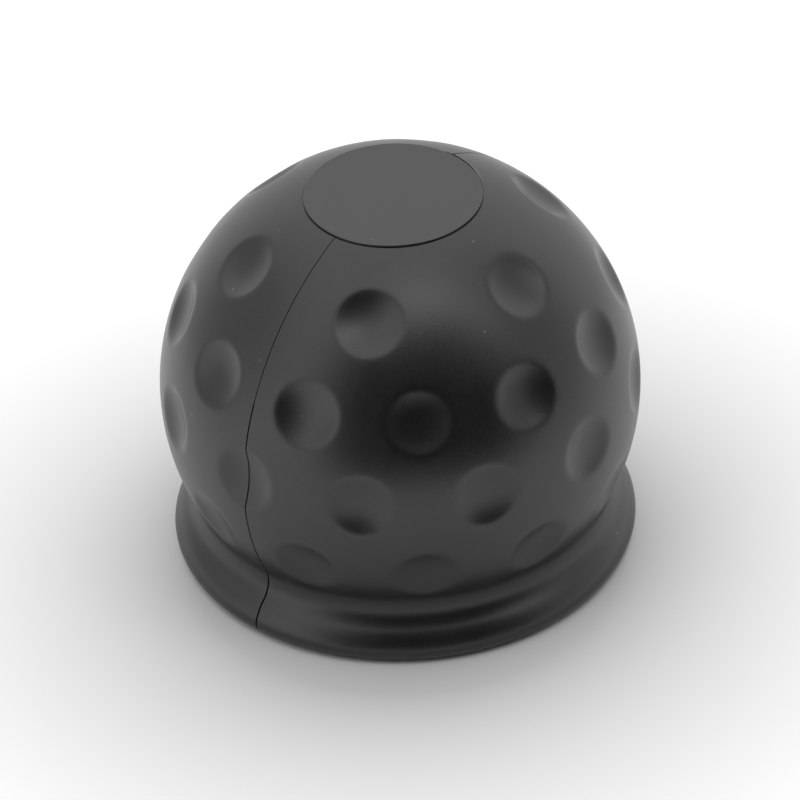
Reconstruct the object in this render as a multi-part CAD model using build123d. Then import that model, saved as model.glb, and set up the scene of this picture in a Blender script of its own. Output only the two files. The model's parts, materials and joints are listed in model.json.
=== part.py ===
from build123d import *
from math import sqrt
import os

# Tow ball cover: one hollow moulding in soft plastic, pushed over the ball of a tow bar.
# Millimetres. +Z is up, the origin is the centre of the base, and the mould parts on XZ.

# The tow ball and the pocket that takes it
tow_ball_diameter = 50.0
pocket_clearance = 0.25  # radial, all round the tow ball
lip_grip = 2.5  # radial, how far the lip closes in below the tow ball's widest line
lip_land = 4.0  # straight height of the lip
lip_rounding = 1.0  # where the pocket and the lead-in run over into the lip

# The dome
dome_wall = 6.75
centre_height = 23.7  # centre of the tow ball above the base
pad_diameter = 23.4  # plain raised disc on the crown
pad_step = 0.25

# The rolled rim and the neck above it
rim_diameter = 62.4
rim_wall = 5.2  # from the mouth to the outside of the rim
bead_radius = 3.5
neck_radius = 3.1
mouth_rounding = 0.8

# The dimples, in staggered rows round the dome
dimple_diameter = 8.8
dimple_depth = 1.1
crown_row_count = 6
full_row_count = 12
crown_row_latitude = 49.6
shoulder_row_latitude = 26.2
waist_row_latitude = 5.0
lower_row_latitude = -16.5

pocket_radius = tow_ball_diameter / 2 + pocket_clearance
dome_radius = pocket_radius + dome_wall
lip_radius = tow_ball_diameter / 2 - lip_grip
rim_radius = rim_diameter / 2
pad_radius = pad_diameter / 2
centre = Vector(0, centre_height)


def toward(start, aim, distance):
    return start + (aim - start).normalized() * distance


def arc(middle, start, end):
    radius = (start - middle).length
    outward = (start - middle).normalized() + (end - middle).normalized()
    return ThreePointArc(start, toward(middle, middle + outward, radius), end)


def above(radius, distance):
    # Height over the middle of a round of this radius, this far from its axis
    return sqrt(radius**2 - distance**2)


def neck_middle(bead):
    # Middle of the hollow round that touches the dome and the bead from outside
    span = bead - centre
    reach = dome_radius + neck_radius
    along = (reach**2 - (bead_radius + neck_radius) ** 2 + span.length**2) / (2 * span.length)
    line = span.normalized()
    return centre + line * along + Vector(-line.Y, line.X) * above(reach, along)


def half_section():
    bead = Vector(rim_radius - bead_radius, bead_radius)
    neck = neck_middle(bead)
    neck_low = toward(bead, neck, bead_radius)
    neck_high = toward(centre, neck, dome_radius)
    base = Vector(bead.X, 0)
    pad_foot = centre + Vector(pad_radius, above(dome_radius, pad_radius))
    pad_edge = pad_foot + Vector(0, pad_step)
    pad_middle = Vector(0, pad_edge.Y)
    pocket_top = centre + Vector(0, pocket_radius)
    lip_top = centre + Vector(lip_radius, -above(pocket_radius, lip_radius))
    lip_foot = lip_top - Vector(0, lip_land)
    mouth = Vector(rim_radius - rim_wall, 0)

    edges = [
        Line(mouth, base),
        arc(bead, base, neck_low),
        arc(neck, neck_low, neck_high),
        arc(centre, neck_high, pad_foot),
        Line(pad_foot, pad_edge),
        Line(pad_edge, pad_middle),
        Line(pad_middle, pocket_top),
        arc(centre, pocket_top, lip_top),
        Line(lip_top, lip_foot),
        Line(lip_foot, mouth),
    ]
    section = make_face(edges)
    rounds = [
        (mouth, mouth_rounding),
        (lip_top, lip_rounding),
        (lip_foot, lip_rounding),
    ]
    for corner, rounding in rounds:
        section = fillet(section.vertices().sort_by_distance(corner)[0], rounding)
    return section


def dimple_cutter():
    # Short plug with a ball end, which leaves a dimple of the set width and depth in the dome at +X
    floor = dome_radius - dimple_depth
    rim = above(dome_radius, dimple_diameter / 2)
    offset = (dome_radius**2 - floor**2) / (2 * (rim - floor))
    ball = Pos(offset, 0, 0) * Sphere(offset - floor)
    plug = Cylinder(dimple_diameter / 2 + dimple_depth, 3 * dimple_depth)
    return ball & Pos((floor + dome_radius) / 2, 0, 0) * Rot(0, 90, 0) * plug


def dimple_row(count, latitude, first):
    cutter = Rot(0, -latitude, 0) * dimple_cutter()
    turns = [first + 360 / count * i for i in range(count)]
    return [Pos(0, 0, centre_height) * Rot(0, 0, turn) * cutter for turn in turns]


def ball_cover():
    body = revolve(Plane.XZ * half_section(), Axis.Z)
    stagger = 180 / full_row_count
    cutters = dimple_row(crown_row_count, crown_row_latitude, 180 / crown_row_count)
    cutters += dimple_row(full_row_count, shoulder_row_latitude, stagger)
    cutters += dimple_row(full_row_count, waist_row_latitude, 0)
    cutters += dimple_row(full_row_count, lower_row_latitude, stagger)
    return body - cutters


os.makedirs("parts", exist_ok=True)
export_step(ball_cover(), "parts/ball_cover.step")
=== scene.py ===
import bpy
import json
import math
from mathutils import Matrix, Vector


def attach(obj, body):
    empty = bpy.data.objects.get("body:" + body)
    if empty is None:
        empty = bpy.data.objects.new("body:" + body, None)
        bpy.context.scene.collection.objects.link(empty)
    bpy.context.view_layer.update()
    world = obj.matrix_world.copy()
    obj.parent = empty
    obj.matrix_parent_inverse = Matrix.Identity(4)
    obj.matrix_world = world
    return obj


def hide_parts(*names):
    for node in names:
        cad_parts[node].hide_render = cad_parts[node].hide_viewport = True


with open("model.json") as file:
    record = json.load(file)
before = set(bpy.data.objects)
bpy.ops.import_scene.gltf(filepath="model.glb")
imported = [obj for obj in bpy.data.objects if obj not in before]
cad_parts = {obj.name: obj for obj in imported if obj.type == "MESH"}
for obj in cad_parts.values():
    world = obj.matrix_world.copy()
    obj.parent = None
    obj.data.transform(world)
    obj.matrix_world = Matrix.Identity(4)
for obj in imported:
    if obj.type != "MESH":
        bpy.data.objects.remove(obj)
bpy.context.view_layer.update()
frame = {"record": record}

mountPlaces = {m["name"]: m for m in frame["record"]["mounts"]}
ballCentre = Vector(mountPlaces["tow_ball_socket"]["pos_m"])
crownHeight = mountPlaces["crown_pad"]["pos_m"][2]
lipRadius = mountPlaces["grip_lip"]["dims"]["r_mm"] / 1000
lipMiddle = mountPlaces["grip_lip"]["pos_m"][2]
lipLand = mountPlaces["grip_lip"]["dims"]["length_mm"] / 1000


# small helpers for work in edit mode

def dropSelection():
    if bpy.context.object and bpy.context.object.mode != "OBJECT":
        bpy.ops.object.mode_set(mode="OBJECT")
    bpy.ops.object.select_all(action="DESELECT")


def takeUp(piece):
    dropSelection()
    piece.select_set(True)
    bpy.context.view_layer.objects.active = piece


def clearPicks(piece, kind):
    # one kind of element to pick from, with nothing picked yet
    takeUp(piece)
    bpy.ops.object.mode_set(mode="EDIT")
    bpy.ops.mesh.select_mode(type=kind)
    bpy.ops.mesh.select_all(action="DESELECT")
    bpy.ops.object.mode_set(mode="OBJECT")


def pickVertices(piece, wanted):
    clearPicks(piece, "VERT")
    for vertex in piece.data.vertices:
        vertex.select = wanted(vertex.co)
    bpy.ops.object.mode_set(mode="EDIT")


def pickEdges(piece, wanted):
    clearPicks(piece, "EDGE")
    corners = piece.data.vertices
    for edge in piece.data.edges:
        edge.select = all(wanted(corners[i].co) for i in edge.vertices)
    bpy.ops.object.mode_set(mode="EDIT")


def pickFaces(piece, wanted):
    clearPicks(piece, "FACE")
    for face in piece.data.polygons:
        face.select = wanted(face.center)
    bpy.ops.object.mode_set(mode="EDIT")


def arcPoints(middle, radius, start, end, steps):
    turns = [math.radians(start + (end - start) * i / steps) for i in range(steps + 1)]
    return [Vector((middle.x + radius * math.cos(t), 0, middle.z + radius * math.sin(t)))
            for t in turns]


def angleOf(middle, point):
    return math.degrees(math.atan2(point.z - middle.z, point.x - middle.x))


def softCorner(before, corner, after, reach, steps=4):
    # rounds a corner of the section, starting this far from it on both sides
    start = corner + (before - corner).normalized() * reach
    end = corner + (after - corner).normalized() * reach
    shares = [i / steps for i in range(steps + 1)]
    return [start * (1 - t) ** 2 + corner * (2 * t * (1 - t)) + end * t ** 2 for t in shares]


def pushPoints(piece, name, weights, direction, strength, texture=None):
    # moves points by their weights, with a displace modifier that is applied at once
    group = piece.vertex_groups.new(name=name)
    for index, weight in weights.items():
        group.add([index], weight, "REPLACE")
    push = piece.modifiers.new(name, "DISPLACE")
    push.vertex_group = group.name
    push.direction = direction
    push.strength = strength
    push.mid_level = 0
    if texture:
        push.texture = texture
        push.texture_coords = "LOCAL"
        push.mid_level = 0.5      # a cloud's middle grey leaves a point where it is
    takeUp(piece)
    bpy.ops.object.modifier_apply(modifier=push.name)
    piece.vertex_groups.clear()


# the cover: one moulding, drawn as a half section and spun

coverShape = {
    "domeRadius": 0.0320,
    "pocketRadius": 0.02525,
    "pocketLift": 2,          # where the pocket starts above the lip, in degrees
    "padRadius": 0.0117,
    "padEdge": 0.00006,       # softened edge of the raised pad
    "padRings": (0.5, 0.9),   # rings on the pad, as shares of its radius
    "moatWidth": 0.00012,     # fine gap round the foot of the pad
    "moatDepth": 0.00010,
    "rimRadius": 0.0312,
    "rimWall": 0.0052,
    "footRound": 0.0019,      # small round at the foot of the skirt
    "skirtRound": 0.0056,     # broad round above it
    "skirtTurn": 20,          # where one runs over into the other, in degrees above level
    "neckRadius": 0.0039,
    "mouthRound": 0.0008,
    "lipRound": 0.0005,
    "leadInRings": (0.3, 0.5, 0.7),   # between the mouth and the lip
    "spinSteps": 440,
    "domeSteps": 138,
    "neckSteps": 10,
    "skirtSteps": 10,
    "footSteps": 14,
    "pocketSteps": 20,
    "mergeGap": 0.000004,
    "smoothAngle": 32,
}
moatEdge = coverShape["padRadius"] + coverShape["moatWidth"]
mouthRadius = coverShape["rimRadius"] - coverShape["rimWall"]


def neckMiddle(skirt):
    # middle of the hollow round between dome and skirt
    span = skirt - ballCentre
    reach = coverShape["domeRadius"] + coverShape["neckRadius"]
    short = coverShape["skirtRound"] + coverShape["neckRadius"]
    along = (reach ** 2 - short ** 2 + span.length ** 2) / (2 * span.length)
    line = span.normalized()
    across = Vector((-line.z, 0, line.x))
    return ballCentre + line * along + across * math.sqrt(reach ** 2 - along ** 2)


def coverSection():
    s = coverShape
    foot = Vector((s["rimRadius"] - s["footRound"], 0, s["footRound"]))
    turn = math.radians(s["skirtTurn"])
    outward = Vector((math.cos(turn), 0, math.sin(turn)))
    skirt = foot - outward * (s["skirtRound"] - s["footRound"])
    neck = neckMiddle(skirt)
    domeTop = math.degrees(math.acos(moatEdge / s["domeRadius"]))
    domeEnd = angleOf(ballCentre, neck)
    neckEnd = angleOf(neck, skirt) + 360
    skirtTop = angleOf(skirt, neck)
    moatTop = ballCentre.z + s["domeRadius"] * math.sin(math.radians(domeTop))
    moatFloor = moatTop - s["moatDepth"]
    mouth = Vector((mouthRadius, 0, 0))
    lipFoot = Vector((lipRadius, 0, lipMiddle - lipLand / 2))
    lipTop = Vector((lipRadius, 0, lipMiddle + lipLand / 2))
    pocketFoot = s["pocketLift"] - math.degrees(math.acos(lipRadius / s["pocketRadius"]))
    pocket = arcPoints(ballCentre, s["pocketRadius"], pocketFoot, 90, s["pocketSteps"])

    points = [Vector((0, 0, crownHeight))]
    points += [Vector((s["padRadius"] * k, 0, crownHeight)) for k in s["padRings"]]
    points += [
        Vector((s["padRadius"] - s["padEdge"], 0, crownHeight)),
        Vector((s["padRadius"], 0, crownHeight - s["padEdge"])),
        Vector((s["padRadius"], 0, moatFloor)),
        Vector((moatEdge, 0, moatFloor)),
    ]
    points += arcPoints(ballCentre, s["domeRadius"], domeTop, domeEnd, s["domeSteps"])
    points += arcPoints(neck, s["neckRadius"], domeEnd + 180, neckEnd, s["neckSteps"])[1:]
    points += arcPoints(skirt, s["skirtRound"], skirtTop, s["skirtTurn"], s["skirtSteps"])[1:]
    points += arcPoints(foot, s["footRound"], s["skirtTurn"], -90, s["footSteps"])[1:]
    points += softCorner(points[-1], mouth, lipFoot, s["mouthRound"])
    points += [mouth.lerp(lipFoot, k) for k in s["leadInRings"]]
    points += softCorner(mouth, lipFoot, lipTop, s["lipRound"])
    points += softCorner(lipFoot, lipTop, pocket[0], s["lipRound"])
    points += pocket
    points[-1].x = 0              # the pocket closes on the axis
    return points


def spinCover():
    points = coverSection()
    dropSelection()
    bpy.ops.mesh.primitive_plane_add(size=0.001, location=(0, 0, 0))
    cover = bpy.context.object
    cover.name = cover.data.name = "dimpled_cover"
    bpy.ops.object.mode_set(mode="EDIT")
    bpy.ops.mesh.select_mode(type="VERT")
    bpy.ops.mesh.select_all(action="SELECT")
    bpy.ops.mesh.merge(type="CENTER")     # one point is left to draw the section from
    bpy.ops.transform.translate(value=points[0])
    for here, there in zip(points, points[1:]):
        bpy.ops.mesh.extrude_region_move(TRANSFORM_OT_translate={"value": there - here})
    bpy.ops.mesh.select_all(action="SELECT")
    bpy.ops.mesh.spin(steps=coverShape["spinSteps"], angle=math.tau,
                      center=(0, 0, 0), axis=(0, 0, 1))
    bpy.ops.mesh.select_all(action="SELECT")
    bpy.ops.mesh.remove_doubles(threshold=coverShape["mergeGap"])
    bpy.ops.mesh.normals_make_consistent(inside=False)
    bpy.ops.object.mode_set(mode="OBJECT")
    print("cover spun:", len(points), "points,", len(cover.data.polygons), "faces")
    return cover


# the dimples: staggered rows round the dome, pressed in along the surface

dimpleSet = {
    "radius": 0.0044,
    "depth": 0.0011,
    "soften": 0.00010,        # how far the edge is rolled over, as a depth
    "reach": 1.6,             # how far out a dimple is worked, in radii
    "onDome": 0.001,          # how far off the dome a point may lie, as a share of its radius
    "rows": [                 # latitude, count, first turn from +X, share of the depth
        (49.6, 6, 30, 1),
        (26.2, 12, 15, 1),
        (5.0, 12, 0, 1),
        (-16.5, 12, 15, 0.8),
    ],
}


def dimpleAxes():
    axes = []
    for latitude, count, first, share in dimpleSet["rows"]:
        rise = math.radians(latitude)
        level = math.cos(rise)
        for i in range(count):
            turn = math.radians(first + 360 * i / count)
            axis = Vector((level * math.cos(turn), level * math.sin(turn), math.sin(rise)))
            axes.append((axis, share * dimpleSet["depth"]))
    return axes


def dimpleDepth(turn, deepest):
    # depth below the dome at this turn from a dimple's axis: a ball's hollow with a rolled edge
    dome = coverShape["domeRadius"]
    floor = dome - deepest
    rim = math.sqrt(dome ** 2 - dimpleSet["radius"] ** 2)
    away = (dome ** 2 - floor ** 2) / (2 * (rim - floor))
    ball = away - floor
    side = away * math.sin(turn)
    if side >= ball:
        return 0
    depth = dome - (away * math.cos(turn) - math.sqrt(ball ** 2 - side ** 2))
    soft = dimpleSet["soften"]
    return max(depth, 0) + soft * math.log1p(math.exp(-abs(depth) / soft))


def pressDimples(cover):
    axes = dimpleAxes()
    dome = coverShape["domeRadius"]
    reach = math.cos(dimpleSet["reach"] * dimpleSet["radius"] / dome)
    weights = {}
    for vertex in cover.data.vertices:
        arm = vertex.co - ballCentre
        if abs(arm.length - dome) > dome * dimpleSet["onDome"]:
            continue
        near, deepest = max((arm.normalized().dot(axis), depth) for axis, depth in axes)
        if near > reach:
            depth = dimpleDepth(math.acos(min(near, 1)), deepest)
            weights[vertex.index] = depth / dimpleSet["depth"]
    pushPoints(cover, "pressDimples", weights, "NORMAL", -dimpleSet["depth"])
    print("dimples pressed:", len(axes))


# the pad's flash: a thin burr beside the far end of the parting line, along the edge of the pad

padFlash = {
    "height": 0.00030,
    "rise": (14, -4),         # turn from the far end of the parting line, in degrees
    "fall": (-10, -50),
    "near": 0.00002,          # how near to the edge of the gap a point counts as on it
}


def flashShare(turn):
    def step(start, end):
        share = min(max((turn - start) / (end - start), 0), 1)
        return share * share * (3 - 2 * share)

    return step(*padFlash["rise"]) * (1 - step(*padFlash["fall"]))


def raiseFlash(cover):
    moatTop = ballCentre.z + math.sqrt(coverShape["domeRadius"] ** 2 - moatEdge ** 2)
    near = padFlash["near"]
    weights = {}
    for vertex in cover.data.vertices:
        x, y, z = vertex.co
        if abs(math.hypot(x, y) - moatEdge) < near and abs(z - moatTop) < near:
            weights[vertex.index] = flashShare(math.degrees(math.atan2(y, x)))
    pushPoints(cover, "raiseFlash", weights, "Z", padFlash["height"])
    print("pad flash raised:", sum(w > 0 for w in weights.values()), "points")


# the parting line: a hairline groove where the two halves of the mould met

partingLine = {
    "halfWidth": 0.00008,
    "depth": 0.00015,
    "runs": {                 # side in X, heights, share of the width and further depth
        "skirt": (0, (0, 0.0085), 1.65, 0.00019),
        "lowerDome": (-1, (0.0085, 0.0370), 1.35, 0.00010),
        "upperDome": (-1, (0.0370, 0.06), 0.75, 0),
        "backTop": (1, (0.042, 0.06), 1.65, 0.00019),
    },
    "wander": 0.00007,        # how far the line strays from the plane
    "wanderSize": 0.0008,
    "flat": 0.0000015,        # how near to the parting plane a point counts as on it
    "beside": 0.3,            # the same for the groove's two edges, in half widths
    "strayReach": 1.8,        # how far to the sides points stray with it, in half widths
    "dimpleRoom": 1.2,        # how deep below the dome it runs on, in depths of a dimple
    "domeFrom": 0.006,        # height above which the dome is looked at
    "skirtReach": 0.0038,     # how far in from the rim the skirt is looked at
    "footGap": 0.0001,        # height at which the line ends
}


def onOutside(point):
    s = partingLine
    arm = (point - ballCentre).length
    fromAxis = math.hypot(point.x, point.y)
    deepest = coverShape["domeRadius"] - s["dimpleRoom"] * dimpleSet["depth"]
    onDome = arm > deepest and point.z > s["domeFrom"]
    onSkirt = fromAxis > coverShape["rimRadius"] - s["skirtReach"] and point.z > s["footGap"]
    return (onDome and fromAxis > moatEdge - padFlash["near"]) or onSkirt


def cutPartingLine(cover):
    s = partingLine

    def onRun(point, side, heights):
        return point.x * side >= 0 and heights[0] <= point.z < heights[1]

    def onLine(point):
        return abs(point.y) < s["flat"] and onOutside(point)

    def besideLine(point):
        off = abs(abs(point.y) - s["halfWidth"])
        return off < s["beside"] * s["halfWidth"] and onOutside(point)

    pickEdges(cover, onLine)
    bpy.ops.mesh.bevel(offset_type="OFFSET", offset=s["halfWidth"], segments=2, profile=0.5,
                       affect="EDGES", clamp_overlap=False)
    pickVertices(cover, onLine)
    bpy.ops.transform.shrink_fatten(value=-s["depth"])
    for side, heights, widen, deeper in s["runs"].values():
        pickVertices(cover, lambda point: besideLine(point) and onRun(point, side, heights))
        bpy.ops.transform.resize(value=(1, widen, 1), center_override=(0, 0, 0))
        pickVertices(cover, lambda point: onLine(point) and onRun(point, side, heights))
        bpy.ops.transform.shrink_fatten(value=-deeper)
    bpy.ops.object.mode_set(mode="OBJECT")

    # the groove's floor is marked for painted shade, darkened in the finish
    floorRow = [v.index for v in cover.data.vertices if onLine(v.co)]
    seamShade = cover.data.attributes.new("seamShade", "FLOAT", "POINT")
    for index in floorRow:
        seamShade.data[index].value = 1
    nearBy = s["halfWidth"] * s["strayReach"]
    rows = {v.index: 1 for v in cover.data.vertices if abs(v.co.y) < nearBy and onOutside(v.co)}
    stray = bpy.data.textures.new("partingLineStray", "CLOUDS")
    stray.noise_scale = s["wanderSize"]
    stray.noise_depth = 1
    pushPoints(cover, "strayLine", rows, "Y", s["wander"], stray)
    print("parting line cut:", len(floorRow), "points on its floor,", len(rows), "in all")


def buildCover():
    cover = spinCover()
    pressDimples(cover)
    raiseFlash(cover)
    cutPartingLine(cover)
    takeUp(cover)
    bpy.ops.object.shade_smooth_by_angle(angle=math.radians(coverShape["smoothAngle"]))
    return cover


# the finishes: satin black soft plastic, a plainer pad and a matt pocket

finishes = {
    "satin_black_dome": {
        "colours": ((0.0080, 0.0079, 0.0076, 1), (0.0185, 0.0181, 0.0175, 1)),
        "roughness": (0.315, 0.345),
        "ior": 1.60,
        "grain": 0.000014,    # height of the moulded grain
        "fine": 3600,
        "broad": 170,
        "dust": 0.6,
    },
    "plain_black_pad": {
        "colours": ((0.0100, 0.0098, 0.0096, 1), (0.0130, 0.0127, 0.0124, 1)),
        "roughness": (0.330, 0.350),
        "ior": 1.67,
        "grain": 0.000006,
        "fine": 4400,
        "broad": 240,
        "dust": 0.3,
    },
    "matt_black_pocket": {
        "colours": ((0.0105, 0.0103, 0.0100, 1), (0.0150, 0.0147, 0.0142, 1)),
        "roughness": (0.48, 0.56),
        "ior": 1.5,
        "grain": 0.000014,
        "fine": 2600,
        "broad": 120,
        "dust": 0.5,
    },
}
finishEdges = {               # how far past its own edge each finish is looked for
    "padDrop": 0.0001,
    "pocketRoom": 0.001,
    "mouthRoom": 0.0002,
}
grainMix = {
    "fineDetail": 2,
    "broadDetail": 4,
    "contrast": (0.3, 0.7),   # the part of the noise that is spread out
    "clouds": 0.4,
    "speckle": 0.6,
    "roughSpan": (0.2, 0.8),  # mottle from the smoothest to the roughest spots
}
dustSpecks = {
    "colour": (0.24, 0.235, 0.225, 1),
    "spacing": 250,
    "size": 0.05,
    "core": 0.4,              # full strength inside this share of a speck
    "ragged": 3,
}
seamFloorShade = {                 # painted shade on the bottom of the parting line, where the groove shades it, and a rougher finish there
    "colour": (0.003, 0.003, 0.003, 1),
    "roughness": 0.75,
}


def feed(tree, socket, level):
    # a socket takes another node's output or a plain value
    if isinstance(level, bpy.types.NodeSocket):
        tree.links.new(level, socket)
    else:
        socket.default_value = level


def newGroup(name, inputs, outputs):
    group = bpy.data.node_groups.new(name, "ShaderNodeTree")
    for label, kind in inputs.items():
        group.interface.new_socket(label, in_out="INPUT", socket_type=kind)
    for label in outputs:
        group.interface.new_socket(label, in_out="OUTPUT", socket_type="NodeSocketFloat")
    return group, group.nodes.new("NodeGroupInput"), group.nodes.new("NodeGroupOutput")


def placeGroup(tree, group, values):
    node = tree.nodes.new("ShaderNodeGroup")
    node.node_tree = group
    for label, level in values.items():
        feed(tree, node.inputs[label], level)
    return node.outputs


def noiseNode(tree, vector, scale, detail):
    noise = tree.nodes.new("ShaderNodeTexNoise")
    for label, level in (("Vector", vector), ("Scale", scale), ("Detail", detail)):
        feed(tree, noise.inputs[label], level)
    return noise.outputs[0]


def spread(tree, value, fromLow, fromHigh, toLow=0, toHigh=1, smooth=False):
    # brings a value from one range to another, held inside it
    span = tree.nodes.new("ShaderNodeMapRange")
    if smooth:
        span.interpolation_type = "SMOOTHSTEP"
    labels = ("Value", "From Min", "From Max", "To Min", "To Max")
    for label, level in zip(labels, (value, fromLow, fromHigh, toLow, toHigh)):
        feed(tree, span.inputs[label], level)
    return span.outputs["Result"]


def mathNode(tree, operation, *levels):
    node = tree.nodes.new("ShaderNodeMath")
    node.operation = operation
    for socket, level in zip(node.inputs, levels):
        feed(tree, socket, level)
    return node.outputs[0]


def colourMix(tree, factor, first, second):
    mix = tree.nodes.new("ShaderNodeMix")
    mix.data_type = "RGBA"
    factorSocket, firstSocket, secondSocket = mix.inputs[0], mix.inputs[6], mix.inputs[7]
    feed(tree, factorSocket, factor)
    feed(tree, firstSocket, first)
    feed(tree, secondSocket, second)
    return mix.outputs[2]


def mouldGrainGroup():
    # fine moulded grain, and broad faint clouds of it
    inputs = {"Vector": "NodeSocketVector", "Fine": "NodeSocketFloat", "Broad": "NodeSocketFloat"}
    group, given, out = newGroup("mouldGrain", inputs, ["Height", "Mottle"])
    place = given.outputs["Vector"]
    fine = noiseNode(group, place, given.outputs["Fine"], grainMix["fineDetail"])
    broad = noiseNode(group, place, given.outputs["Broad"], grainMix["broadDetail"])
    clouds = spread(group, broad, *grainMix["contrast"])
    clouds = mathNode(group, "MULTIPLY", clouds, grainMix["clouds"])
    speckle = spread(group, fine, *grainMix["contrast"])
    speckle = mathNode(group, "MULTIPLY", speckle, grainMix["speckle"])
    group.links.new(fine, out.inputs["Height"])
    group.links.new(mathNode(group, "ADD", clouds, speckle), out.inputs["Mottle"])
    return group


def dustFlecksGroup():
    # sparse pale specks, ragged at their edges
    inputs = {"Vector": "NodeSocketVector", "Spacing": "NodeSocketFloat",
              "Size": "NodeSocketFloat", "Ragged": "NodeSocketFloat"}
    group, given, out = newGroup("dustFlecks", inputs, ["Mask"])
    size = given.outputs["Size"]
    cells = group.nodes.new("ShaderNodeTexVoronoi")
    group.links.new(given.outputs["Vector"], cells.inputs["Vector"])
    group.links.new(given.outputs["Spacing"], cells.inputs["Scale"])
    uneven = mathNode(group, "SUBTRACT", given.outputs["Ragged"], 0.5)    # noise lies round 0.5
    uneven = mathNode(group, "MULTIPLY", uneven, size)
    uneven = mathNode(group, "MULTIPLY", uneven, dustSpecks["ragged"])
    away = mathNode(group, "ADD", cells.outputs["Distance"], uneven)
    speck = spread(group, away, size, mathNode(group, "MULTIPLY", size, dustSpecks["core"]))
    strength = mathNode(group, "MULTIPLY", speck, cells.outputs["Color"])
    group.links.new(strength, out.inputs["Mask"])
    return group


def blackPlastic(name, mouldGrain, dustFlecks):
    s = finishes[name]
    material = bpy.data.materials.new(name)
    material.use_nodes = True
    tree = material.node_tree
    shader = tree.nodes["Principled BSDF"]
    shader.inputs["IOR"].default_value = s["ior"]
    place = tree.nodes.new("ShaderNodeTexCoord").outputs["Object"]
    grain = placeGroup(tree, mouldGrain, {
        "Vector": place, "Fine": s["fine"], "Broad": s["broad"]})
    dust = placeGroup(tree, dustFlecks, {
        "Vector": place, "Spacing": dustSpecks["spacing"], "Size": dustSpecks["size"],
        "Ragged": grain["Height"]})
    seamShade = tree.nodes.new("ShaderNodeAttribute")
    seamShade.attribute_name = "seamShade"
    seamShadeMask = seamShade.outputs["Fac"]

    colour = colourMix(tree, grain["Mottle"], *s["colours"])
    flecks = mathNode(tree, "MULTIPLY", dust["Mask"], s["dust"])
    colour = colourMix(tree, flecks, colour, dustSpecks["colour"])
    # painted shade: the parting line's floor is darkened in colour where the groove shades it
    colour = colourMix(tree, seamShadeMask, colour, seamFloorShade["colour"])
    tree.links.new(colour, shader.inputs["Base Color"])

    rough = spread(tree, grain["Mottle"], *grainMix["roughSpan"], *s["roughness"])
    seamRough = mathNode(tree, "MULTIPLY", seamShadeMask, seamFloorShade["roughness"])
    rough = mathNode(tree, "MAXIMUM", rough, seamRough)
    tree.links.new(rough, shader.inputs["Roughness"])

    bump = tree.nodes.new("ShaderNodeBump")
    bump.inputs["Strength"].default_value = 1
    bump.inputs["Distance"].default_value = s["grain"]
    tree.links.new(grain["Height"], bump.inputs["Height"])
    tree.links.new(bump.outputs["Normal"], shader.inputs["Normal"])
    return material


def finishCover(cover):
    mouldGrain = mouldGrainGroup()
    dustFlecks = dustFlecksGroup()
    for name in finishes:
        cover.data.materials.append(blackPlastic(name, mouldGrain, dustFlecks))

    def onPad(point):
        fromAxis = math.hypot(point.x, point.y)
        return fromAxis < coverShape["padRadius"] and point.z > crownHeight - finishEdges["padDrop"]

    def inPocket(point):
        fromBall = (point - ballCentre).length
        inMouth = math.hypot(point.x, point.y) < mouthRadius + finishEdges["mouthRoom"]
        belowLip = inMouth and point.z < lipMiddle
        return fromBall < coverShape["pocketRadius"] + finishEdges["pocketRoom"] or belowLip

    for slot, wanted in ((1, onPad), (2, inPocket)):
        pickFaces(cover, wanted)
        cover.active_material_index = slot
        bpy.ops.object.material_slot_assign()
    bpy.ops.object.mode_set(mode="OBJECT")
    slots = [face.material_index for face in cover.data.polygons]
    print("finishes laid on:", {name: slots.count(i) for i, name in enumerate(finishes)})


# the studio: white surroundings, a soft glow overhead and an unlit room behind the camera

photoView = {
    "azimuth": -49.4,
    "elevation": 36.8,
    "roll": -2.25,
    "sensor": 36,
    "lens": 247.5,
    "distance": 0.7326,
    "aim": (-0.00003, -0.00276),   # right and up from the ball's centre
    "clipStart": 0.01,
}

studio = {
    "surround": 1.3,
    "floorReach": 0.17,
    "floorSides": 96,
    "floorColour": 0.70,
    "floorLift": 0.38,             # keeps the floor white where it is seen, away from the painted shadow
    "floorShade": (0.029, 0.078),  # painted shadow round the cover, over its real one: from the cover to the white floor
    "shadeFall": 0.75,             # below 1 the painted shadow thins out faster near the cover
    "shadeShift": 0.008,           # how far the painted shadow lies toward the camera
    # soft round patches: aim from the camera's line and then round it from the right, in degrees,
    # half width and softness, and the light that is added or the share that is taken away
    "patches": {
        "glow": {"aim": (25.2, 33.3), "half": 29.5, "soft": 8.5, "add": 2.6},
        "backdrop": {"aim": (180, 0), "half": 68, "soft": 32, "add": -0.47},
        "leftSide": {"aim": (91, 159.7), "half": 29.5, "soft": 14, "take": 0.49},
        "rightSide": {"aim": (55.5, 9.4), "half": 44.7, "soft": 14, "take": 0.48},
        "unlitRoom": {"aim": (22.7, -60.8), "half": 48.5, "soft": 12.3, "take": 1},
    },
}


def viewFrame():
    # the camera's back, right and up
    turn = math.radians(photoView["azimuth"])
    rise = math.radians(photoView["elevation"])
    roll = math.radians(photoView["roll"])
    level = math.cos(rise)
    back = Vector((math.sin(turn) * level, -math.cos(turn) * level, math.sin(rise)))
    right = Vector((math.cos(turn), math.sin(turn), 0))
    up = back.cross(right)
    rolledRight = right * math.cos(roll) + up * math.sin(roll)
    rolledUp = up * math.cos(roll) - right * math.sin(roll)
    return back, rolledRight, rolledUp


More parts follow.
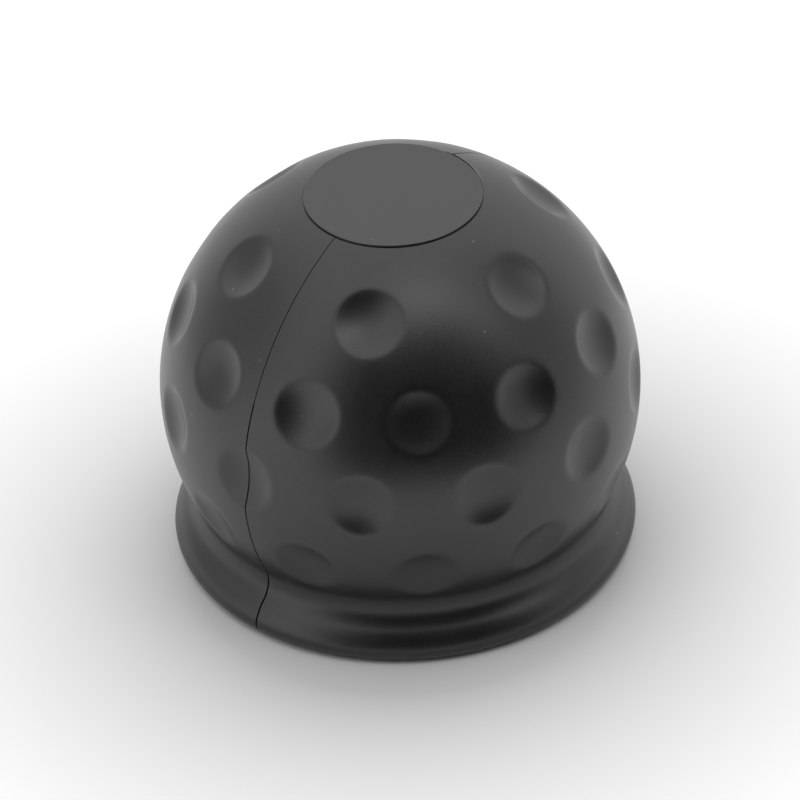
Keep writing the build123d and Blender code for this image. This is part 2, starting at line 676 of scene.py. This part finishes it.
def placeCamera():
    back, right, up = viewFrame()
    camera = bpy.data.objects.new("photoCamera", bpy.data.cameras.new("photoCamera"))
    bpy.context.scene.collection.objects.link(camera)
    camera.data.sensor_width = photoView["sensor"]
    camera.data.lens = photoView["lens"]
    camera.data.clip_start = photoView["clipStart"]
    aimRight, aimUp = photoView["aim"]
    place = ballCentre + right * aimRight + up * aimUp + back * photoView["distance"]
    turned = Matrix((right, up, back)).transposed().to_4x4()
    camera.matrix_world = Matrix.Translation(place) @ turned
    bpy.context.scene.camera = camera
    print("camera placed:", photoView["azimuth"], photoView["elevation"])


def raysMask(tree, *kinds):
    # 1 for rays of these kinds, 0 for all others
    rays = tree.nodes.new("ShaderNodeLightPath").outputs
    mask = rays[kinds[0]]
    for kind in kinds[1:]:
        mask = mathNode(tree, "MAXIMUM", mask, rays[kind])
    return mask


def paleFloorMaterial():
    material = bpy.data.materials.new("pale_floor")
    material.use_nodes = True
    tree = material.node_tree
    tree.nodes.clear()
    out = tree.nodes.new("ShaderNodeOutputMaterial")
    matt = tree.nodes.new("ShaderNodeBsdfDiffuse")
    matt.inputs["Color"].default_value = (studio["floorColour"],) * 3 + (1,)
    back = viewFrame()[0]
    towardCamera = Vector((back.x, back.y, 0)).normalized()
    # painted shadow: the lift fades toward the cover, shifted toward the camera, and darkens the
    # floor round it, in reflections too
    away = tree.nodes.new("ShaderNodeVectorMath")
    away.operation = "DISTANCE"
    away.inputs[1].default_value = towardCamera * studio["shadeShift"]
    tree.links.new(tree.nodes.new("ShaderNodeTexCoord").outputs["Object"], away.inputs[0])
    rise = spread(tree, away.outputs["Value"], *studio["floorShade"])
    rise = mathNode(tree, "POWER", rise, studio["shadeFall"])
    rise = mathNode(tree, "MULTIPLY", rise, studio["floorLift"])
    seen = raysMask(tree, "Is Camera Ray", "Is Transmission Ray", "Is Glossy Ray")
    lift = tree.nodes.new("ShaderNodeEmission")
    tree.links.new(mathNode(tree, "MULTIPLY", seen, rise), lift.inputs["Strength"])
    both = tree.nodes.new("ShaderNodeAddShader")
    tree.links.new(matt.outputs[0], both.inputs[0])
    tree.links.new(lift.outputs[0], both.inputs[1])
    tree.links.new(both.outputs[0], out.inputs["Surface"])
    return material


def layFloor():
    dropSelection()
    bpy.ops.mesh.primitive_circle_add(vertices=studio["floorSides"], radius=studio["floorReach"],
                                      fill_type="NGON", location=(0, 0, 0))
    floor = bpy.context.object
    floor.name = "paleFloor"
    floor.data.materials.append(paleFloorMaterial())
    print("floor laid:", studio["floorReach"])


def aimVector(away, around):
    back, right, up = viewFrame()
    away, around = math.radians(away), math.radians(around)
    outward = right * math.cos(around) + up * math.sin(around)
    return back * math.cos(away) + outward * math.sin(away)


def softSpot(tree, look, patch):
    # 1 inside a round patch of the surroundings, 0 outside, with a soft edge
    facing = tree.nodes.new("ShaderNodeVectorMath")
    facing.operation = "DOT_PRODUCT"
    facing.inputs[1].default_value = aimVector(*patch["aim"])
    tree.links.new(look, facing.inputs[0])
    turn = mathNode(tree, "ARCCOSINE", facing.outputs["Value"])
    outer = math.radians(patch["half"] + patch["soft"])
    inner = math.radians(patch["half"] - patch["soft"])
    return spread(tree, turn, outer, inner, smooth=True)


def lightStudio():
    world = bpy.data.worlds.new("studio")
    bpy.context.scene.world = world
    world.use_nodes = True
    tree = world.node_tree
    tree.nodes.clear()
    out = tree.nodes.new("ShaderNodeOutputWorld")
    sky = tree.nodes.new("ShaderNodeBackground")
    look = tree.nodes.new("ShaderNodeTexCoord").outputs["Generated"]
    level = studio["surround"]
    for patch in studio["patches"].values():
        spot = softSpot(tree, look, patch)
        if "add" in patch:
            level = mathNode(tree, "ADD", mathNode(tree, "MULTIPLY", spot, patch["add"]), level)
        else:
            taken = mathNode(tree, "MULTIPLY", spot, patch["take"])
            level = mathNode(tree, "MULTIPLY", mathNode(tree, "SUBTRACT", 1, taken), level)
    # white where it is seen itself, and the studio's light for all else
    seen = raysMask(tree, "Is Camera Ray", "Is Transmission Ray")
    tree.links.new(spread(tree, seen, 0, 1, level, 1), sky.inputs["Strength"])
    tree.links.new(sky.outputs[0], out.inputs["Surface"])
    sky.inputs["Color"].default_value = (1, 1, 1, 1)
    print("studio lit:", ", ".join(studio["patches"]))


cover = buildCover()
finishCover(cover)
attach(cover, "root")
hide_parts("ball_cover")
placeCamera()
layFloor()
lightStudio()
bpy.context.scene.view_settings.view_transform = "Standard"
